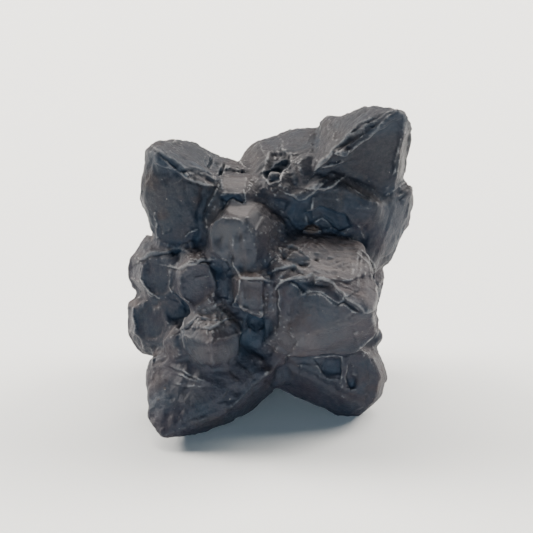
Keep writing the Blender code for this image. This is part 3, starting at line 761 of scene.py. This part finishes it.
def looseCrystals(co, at):
    # crumbs in the joints, pits and flat scales on the rough faces
    size, rise = stoneSkin["crumbSize"] * mm, stoneSkin["crumbRise"] * at["crumbly"]
    bigSeed, smallSeed = stoneSkin["crumbSeeds"]
    small = stoneSkin["smallCrumbs"]
    move = rise * (crumbs(co, size, bigSeed) - stoneSkin["crumbSink"])
    move += small * rise * crumbs(co, small * size, smallSeed)
    rough = at["upper"] * (1 - at["joint"])
    move -= stoneSkin["pitDepth"] * masked("pits", layered("pits", co)) * rough
    scaly = rough * masked("scalePatches", layered("scalePatches", co))
    scales = crumbs(co, stoneSkin["scaleSize"] * mm, stoneSkin["scaleSeed"]) - stoneSkin["scaleSink"]
    return move + stoneSkin["scaleRise"] * scaly * scales


def fineGrain(co, at):
    # the grain is strongest on upper faces, the upright streaks on steep ones
    shift = stoneSkin["grainShift"]
    grain = stoneSkin["grain"] * (1 - shift + shift * at["upper"]) * layered("grain", co)
    streaks = layered("streaks", co * np.array(stoneSkin["streakShape"]))
    streaks *= masked("streakPatches", layered("streakPatches", co))
    return grain + stoneSkin["streaks"] * streaks * (1 - shift * at["upper"])


# Shares that set the tones of the skin, its painted shade and painted highlights among them.
skinTones = {
    "crumbWear": 0.35,  # wear and painted highlight of crumbly ground away from the edges
    "unseenWear": 0.3,  # wear and painted highlight on the side that the camera doesn't see
    "crumbsUpper": 0.8,  # how much crumbly ground counts as upper faces
    "jointDark": 0.6,  # darkness of a joint
    "wearLost": 0.6,  # wear and painted highlight that is lost in crevices
    "toneGloss": 0.5,  # share of the painted light that goes to the gloss and the painted sheen
}


def shapeSkin(piece, bm):
    mesh = piece.data
    co, normal, at = onSkin(mesh, bm)
    print("skin places found")
    seen, edgeGap = at["seen"], at["edgeGap"]
    nick = masked("nicks", layered("nicks", co)) * masked("nickedEdge", -edgeGap)
    move = stoneSkin["swell"] * layered("swell", co) - stoneSkin["nicks"] * nick
    move += growthSteps(co, at) + looseCrystals(co, at) + fineGrain(co, at)
    move = move * at["lively"] + lumpRise(co, normal)
    x, y, depth = wandering(co, "markWander")
    drawn = drawnMarks(x, y) * seen
    # painted highlight on the upper lips of the drawn ledges
    polished = drawnWear(x, y) * seen
    forward = cameraAxis * drawnShape["forward"] * np.maximum(drawn, 0)[:, None]
    co = co + (normal * (move + drawn)[:, None] + forward) * mm
    co[:, 2] = np.maximum(co[:, 2], 0)
    movePoints(mesh, co)
    # wear and painted highlight near the edges
    nearEdge = np.maximum(masked("wornEdge", -edgeGap), skinTones["crumbWear"] * at["crumbly"])
    nearEdge *= skinTones["unseenWear"] + (1 - skinTones["unseenWear"]) * seen
    nearEdge *= 1 - inOutlines(co, unwornPlaces, "calm") * seen
    return co, np.maximum(edgeWear(mesh, co) * nearEdge, polished), seen


def edgeWear(mesh, co):
    # wear and painted highlight: 0 on flat and hollow ground, 1 on sharp outer edges
    normal = meshNormals(mesh)
    edges = meshEdges(mesh)
    wear = np.ones(len(co))
    for name in ("wearFine", "wearWide"):
        bulge = -((spread(co, edges, measureRounds[name]) - co) * normal).sum(1) / mm
        wear *= masked(name, bulge)
    return wear


def polygonList(mesh):
    return [tuple(p.vertices) for p in mesh.polygons]


def thin(piece, seen):
    # the side that the camera sees keeps smaller triangles than the rest
    triangles = sum(len(p.vertices) - 2 for p in piece.data.polygons)
    group = piece.vertex_groups.new(name="farSide")
    for k, share in enumerate(np.maximum(1 - stoneSkin["thinFade"] * seen, stoneSkin["leastThinned"])):
        group.add([k], float(share), "REPLACE")
    fewer = piece.modifiers.new("fewer", "DECIMATE")
    fewer.ratio = min(1, stoneSkin["triangles"] / triangles)
    fewer.use_collapse_triangulate = True
    fewer.vertex_group = group.name
    fewer.vertex_group_factor = stoneSkin["farThinning"]
    applyModifiers(piece)
    piece.vertex_groups.clear()
    print("skin thinned from", triangles, "to", len(piece.data.polygons), "triangles")


def openness(mesh, co, normal):
    # share of the sky that each vertex is shut off from
    tree = BVHTree.FromPolygons(co.tolist(), polygonList(mesh))
    count = rays["skyRays"]
    directions = []
    for k in range(count):
        z = 1 - (k + 0.5) / count
        turn = k * rays["turn"]
        flat = math.sqrt(1 - z * z)
        directions.append(Vector((flat * math.cos(turn), flat * math.sin(turn), z)))
    shut = np.zeros(len(co))
    for k, (p, n) in enumerate(zip(co, normal)):
        n = Vector(n)
        start = Vector(p) + n * rays["skyLift"] * mm
        turn = Vector((0, 0, 1)).rotation_difference(n)
        hits = [tree.ray_cast(start, turn @ d, rays["skyReach"] * mm)[0] for d in directions]
        shut[k] = sum(hit is not None for hit in hits) / count
    return shut


def carried(oldPoints, values, points):
    # value of the old point nearest each point
    tree = pointTree(oldPoints)
    return values[[tree.find(p)[1] for p in points]]


def markSkin(piece, bm, evenPoints, evenWear):
    mesh = piece.data
    co = meshPoints(mesh)
    normal = meshNormals(mesh)
    edges = meshEdges(mesh)
    onSolid, flatNormal = nearestFace(BVHTree.FromBMesh(bm), co)
    facing = masked("facing", normal @ cameraAxis)
    crumbly = inOvals(co, crumblyPlaces, "crumblyOval").max(0) * facing
    upper = np.maximum(upperShare(co, flatNormal), skinTones["crumbsUpper"] * crumbly)
    filled = np.linalg.norm(onSolid - co, axis=1) / mm
    joint = masked("jointTone", spread(filled, edges, measureRounds["jointTone"]))
    # painted shade where the sky is shut off, joined with the darker joints
    shut = masked("shut", spread(openness(mesh, co, normal), edges, measureRounds["shut"]))
    # painted light and shade in ovals: lighter above zero, darker below
    shift = inOvals(co, tonePlaces, "toneOval").sum(0) * facing
    crevice = np.clip(np.maximum(shut, skinTones["jointDark"] * joint) - shift, 0, 1)
    # wear and painted highlight, less where the painted shade lies
    wear = carried(evenPoints, evenWear, co) * (1 - skinTones["wearLost"] * crevice)
    # painted sheen that lightens the smooth facets
    pale = inOutlines(co, calmPlaces, "pale") * facing
    marks = {
        "crevice": crevice,
        "wear": wear,
        "ochre": inOvals(co, ochrePlaces, "ochreOval").max(0) * facing,
        "gloss": np.clip(pale + skinTones["toneGloss"] * shift, 0, 1),
        "upper": spread(upper, edges, measureRounds["upper"]),
    }
    for name, values in marks.items():
        layer = mesh.attributes.new(name, "FLOAT", "POINT")
        layer.data.foreach_set("value", values.astype(np.float32))


class NodeSheet:
    # short way to place and join nodes in one tree
    perRow = 8
    stepX = 200
    stepY = 260

    def __init__(self, tree):
        self.tree = tree
        self.made = 0

    def plug(self, target, value):
        if isinstance(value, bpy.types.NodeSocket):
            self.tree.links.new(value, target)
        else:
            target.default_value = value

    def add(self, kind, links=None, **settings):
        node = self.tree.nodes.new(kind)
        self.made += 1
        node.location = (self.made % self.perRow * self.stepX, -(self.made // self.perRow) * self.stepY)
        for name, value in settings.items():
            setattr(node, name, value)
        for socket, value in (links or {}).items():
            self.plug(node.inputs[socket], value)
        return node

    def attribute(self, name):
        return self.add("ShaderNodeAttribute", attribute_name=name).outputs["Fac"]

    def noise(self, place, scale, detail, roughness, distortion=0.0):
        links = {"Vector": place, "Scale": scale, "Detail": detail, "Roughness": roughness,
                 "Distortion": distortion}
        return self.add("ShaderNodeTexNoise", links).outputs["Fac"]

    def range(self, value, low, high, toLow=0.0, toHigh=1.0):
        links = {"Value": value, "From Min": low, "From Max": high, "To Min": toLow, "To Max": toHigh}
        return self.add("ShaderNodeMapRange", links).outputs["Result"]

    def pattern(self, place, name):
        noiseValues, rangeValues = goethitePatterns[name]
        return self.range(self.noise(place, *noiseValues), *rangeValues)

    def math(self, operation, a, b):
        return self.add("ShaderNodeMath", {0: a, 1: b}, operation=operation).outputs[0]

    def mix(self, share, a, b):
        # the sockets for colours of a Mix node: share, both colours and the result
        node = self.add("ShaderNodeMix", data_type="RGBA")
        for socket, value in ((0, share), (6, a), (7, b)):
            self.plug(node.inputs[socket], value)
        return node.outputs[2]


def newGroup(name, marks, outs):
    tree = bpy.data.node_groups.new(name, "ShaderNodeTree")
    tree.interface.new_socket("Place", in_out="INPUT", socket_type="NodeSocketVector")
    for mark in marks:
        tree.interface.new_socket(mark, in_out="INPUT", socket_type="NodeSocketFloat")
    for socket, kind in outs.items():
        tree.interface.new_socket(socket, in_out="OUTPUT", socket_type=kind)
    start = tree.nodes.new("NodeGroupInput")
    end = tree.nodes.new("NodeGroupOutput")
    return tree, NodeSheet(tree), start.outputs, end.inputs


goethiteFinish = {
    "slate": (0.014, 0.020, 0.031, 1),
    "plum": (0.022, 0.018, 0.026, 1),
    # lighter warm tone on upward faces: partly dust, partly painted light from above
    "dust": (0.060, 0.046, 0.045, 1),
    # painted shade in hollows where the sky is shut off, bluish; it also darkens the joints
    "deep": (0.015, 0.029, 0.048, 1),
    "deepUpper": 0.35,  # share of the painted shade that upper faces take
    # lighter colour on edges and ledge lips: partly wear, partly painted highlight
    "worn": (0.22, 0.21, 0.205, 1),
    "high": (0.004, 0.006, 0.010, 1),  # painted shade that darkens the uppermost crystals
    "highFrom": 0.024,  # metres above the floor where it starts and is full
    "highFull": 0.033,
    "highShare": 0.6,
    "rust": (0.040, 0.020, 0.014, 1),
    "fleck": (0.24, 0.21, 0.18, 1),
    "ochre": (0.075, 0.046, 0.032, 1),
    # painted sheen on the smooth facets
    "pale": (0.13, 0.118, 0.118, 1),
    "grit": (0.060, 0.054, 0.056, 1),
    "upperRoughness": 0.14,  # added on upper faces
    "wearPolish": 0.08,  # taken from the roughness by wear and on smooth facets
    "glossPolish": 0.12,
    "grainHeight": 0.7,  # height of the grain beside the soft swellings, on steep and upper faces
    "grainUpper": 0.8,
    "bumpDepth": 0.00014,  # in metres
    "sheen": 0.22,
    "metallic": 0.0,
    "refraction": 1.55,
}

# Noise over the stone: scale, detail, roughness and distortion, then from and to which values it is stretched.
goethitePatterns = {
    "cloud": ((160, 5, 0.6), (0.38, 0.62)),
    "dust": ((420, 6, 0.65, 0.4), (0.3, 0.62, 0.35, 1.0)),
    "grit": ((1900, 4, 0.7), (0.42, 0.68, 0.0, 0.30)),
    "rust": ((95, 3, 0.6, 0.6), (0.62, 0.74, 0.0, 0.45)),
    "scuffs": ((900, 4, 0.6), (0.35, 0.6, 0.25, 1.0)),
    "flecks": ((2600, 2, 0.5), (0.74, 0.78, 0.0, 0.7)),
    "roughness": ((300, 4, 0.6), (0.3, 0.7, 0.42, 0.58)),
}
softBump = (700, 6, 0.6)       # scale, detail and roughness of the noise in the bump
grainBump = (3600, 4, 0.65)


def toneGroup():
    marks = ["Crevice", "Upper", "Wear", "Ochre", "Gloss"]
    tree, sheet, given, end = newGroup("goethiteTone", marks, {"Color": "NodeSocketColor"})
    place = given["Place"]
    look = goethiteFinish
    colour = sheet.mix(sheet.pattern(place, "cloud"), look["slate"], look["plum"])
    # dust and painted light on upward faces, kept out of the painted shade
    bare = sheet.math("SUBTRACT", 1.0, given["Crevice"])
    dusty = sheet.math("MULTIPLY", sheet.pattern(place, "dust"), bare)
    colour = sheet.mix(sheet.math("MULTIPLY", given["Upper"], dusty), colour, look["dust"])
    # painted shade: darker towards the top of the stone
    height = sheet.add("ShaderNodeSeparateXYZ", {0: place}).outputs["Z"]
    high = sheet.range(height, look["highFrom"], look["highFull"], 0.0, look["highShare"])
    colour = sheet.mix(high, colour, look["high"])
    # painted sheen on the smooth facets and where painted light is placed
    colour = sheet.mix(given["Gloss"], colour, look["pale"])
    colour = sheet.mix(sheet.pattern(place, "grit"), colour, look["grit"])
    colour = sheet.mix(sheet.pattern(place, "rust"), colour, look["rust"])
    # wear and painted highlight on edges and ledge lips
    worn = sheet.math("MULTIPLY", given["Wear"], sheet.pattern(place, "scuffs"))
    colour = sheet.mix(worn, colour, look["worn"])
    # painted shade in hollows, together with the darker joints
    deepShare = sheet.range(given["Upper"], 0, 1, 1.0, look["deepUpper"])
    colour = sheet.mix(sheet.math("MULTIPLY", given["Crevice"], deepShare), colour, look["deep"])
    colour = sheet.mix(given["Ochre"], colour, look["ochre"])
    colour = sheet.mix(sheet.pattern(place, "flecks"), colour, look["fleck"])
    tree.links.new(colour, end["Color"])
    return tree


def polishGroup():
    outs = {"Roughness": "NodeSocketFloat", "Height": "NodeSocketFloat"}
    tree, sheet, given, end = newGroup("goethitePolish", ["Upper", "Wear", "Gloss"], outs)
    place = given["Place"]
    look = goethiteFinish
    rougher = sheet.math("MULTIPLY", given["Upper"], look["upperRoughness"])
    rough = sheet.math("ADD", sheet.pattern(place, "roughness"), rougher)
    rough = sheet.math("SUBTRACT", rough, sheet.math("MULTIPLY", given["Wear"], look["wearPolish"]))
    rough = sheet.math("SUBTRACT", rough, sheet.math("MULTIPLY", given["Gloss"], look["glossPolish"]))
    tree.links.new(rough, end["Roughness"])
    grainHeight = sheet.range(given["Upper"], 0, 1, look["grainHeight"], look["grainUpper"])
    grain = sheet.math("MULTIPLY", sheet.noise(place, *grainBump), grainHeight)
    tree.links.new(sheet.math("ADD", sheet.noise(place, *softBump), grain), end["Height"])
    return tree


def goethite():
    look = goethiteFinish
    material = bpy.data.materials.new("goethite")
    material.use_nodes = True
    tree = material.node_tree
    tree.nodes.clear()
    sheet = NodeSheet(tree)
    place = sheet.add("ShaderNodeTexCoord").outputs["Object"]
    marks = {name: sheet.attribute(name) for name in ("crevice", "upper", "wear", "ochre", "gloss")}
    tone = sheet.add("ShaderNodeGroup", node_tree=toneGroup())
    polish = sheet.add("ShaderNodeGroup", node_tree=polishGroup())
    for node in (tone, polish):
        tree.links.new(place, node.inputs["Place"])
        for name, value in marks.items():
            if name.capitalize() in node.inputs:
                tree.links.new(value, node.inputs[name.capitalize()])
    links = {"Strength": 1.0, "Distance": look["bumpDepth"], "Height": polish.outputs["Height"]}
    bump = sheet.add("ShaderNodeBump", links)
    links = {"Base Color": tone.outputs["Color"], "Roughness": polish.outputs["Roughness"],
             "Normal": bump.outputs["Normal"], "Metallic": look["metallic"], "IOR": look["refraction"],
             "Specular IOR Level": look["sheen"]}
    shader = sheet.add("ShaderNodeBsdfPrincipled", links)
    sheet.add("ShaderNodeOutputMaterial", {"Surface": shader.outputs["BSDF"]})
    return material


def makeSkin():
    bm = solidWithJoiners()
    piece = fineMesh("goethiteSkin", bm)
    print("skin meshed", len(piece.data.vertices), "points")
    evenPoints, evenWear, seen = shapeSkin(piece, bm)
    print("skin shaped")
    thin(piece, seen)
    markSkin(piece, bm, evenPoints, evenWear)
    bm.free()
    piece.data.polygons.foreach_set("use_smooth", [True] * len(piece.data.polygons))
    piece.data.materials.clear()
    piece.data.materials.append(goethite())
    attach(piece, "root")
    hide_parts("crystal_cluster")
    print("skin finished")


surroundings = {
    "floorColour": (0.90, 0.89, 0.86, 1),
    "floorRoughness": 0.8,
    "floorSize": 3.0,
    "skyColour": (0.50, 0.78, 1.0, 1),
    "skyStrength": 0.06,
    "dayColour": (1.0, 0.965, 0.91),
    "fillColour": (0.60, 0.80, 1.0),
    # lamp name: width, depth, power, colour, place
    "lamps": {
        "top": (1.4, 0.3, 16, "dayColour", (0, 0.38, 0.62)),
        "left": (0.4, 0.2, 9.5, "dayColour", (-0.62, 0.31, 0.38)),
        "right": (0.4, 0.2, 8.5, "dayColour", (0.60, 0.32, 0.42)),
        "front": (0.9, 0.3, 5.4, "fillColour", (0, -0.70, 0.08)),
    },
}


def makeFloor():
    bm = bmesh.new()
    bmesh.ops.create_grid(bm, x_segments=1, y_segments=1, size=surroundings["floorSize"] / 2)
    floor = newPiece("floor", bm)
    bm.free()
    material = bpy.data.materials.new("paleFloor")
    material.use_nodes = True
    shader = material.node_tree.nodes["Principled BSDF"]
    shader.inputs["Base Color"].default_value = surroundings["floorColour"]
    shader.inputs["Roughness"].default_value = surroundings["floorRoughness"]
    floor.data.materials.append(material)


def makeLight():
    world = bpy.data.worlds.new("softRoom")
    bpy.context.scene.world = world
    world.use_nodes = True
    sky = world.node_tree.nodes["Background"]
    sky.inputs["Color"].default_value = surroundings["skyColour"]
    sky.inputs["Strength"].default_value = surroundings["skyStrength"]
    for name, (wide, deep, power, colour, place) in surroundings["lamps"].items():
        data = bpy.data.lights.new(name, "AREA")
        data.shape = "RECTANGLE"
        data.size = wide
        data.size_y = deep
        data.energy = power
        data.color = surroundings[colour]
        placed(name, data, place, place)


makeCamera()
makeSkin()
makeFloor()
makeLight()
print("scene lit")
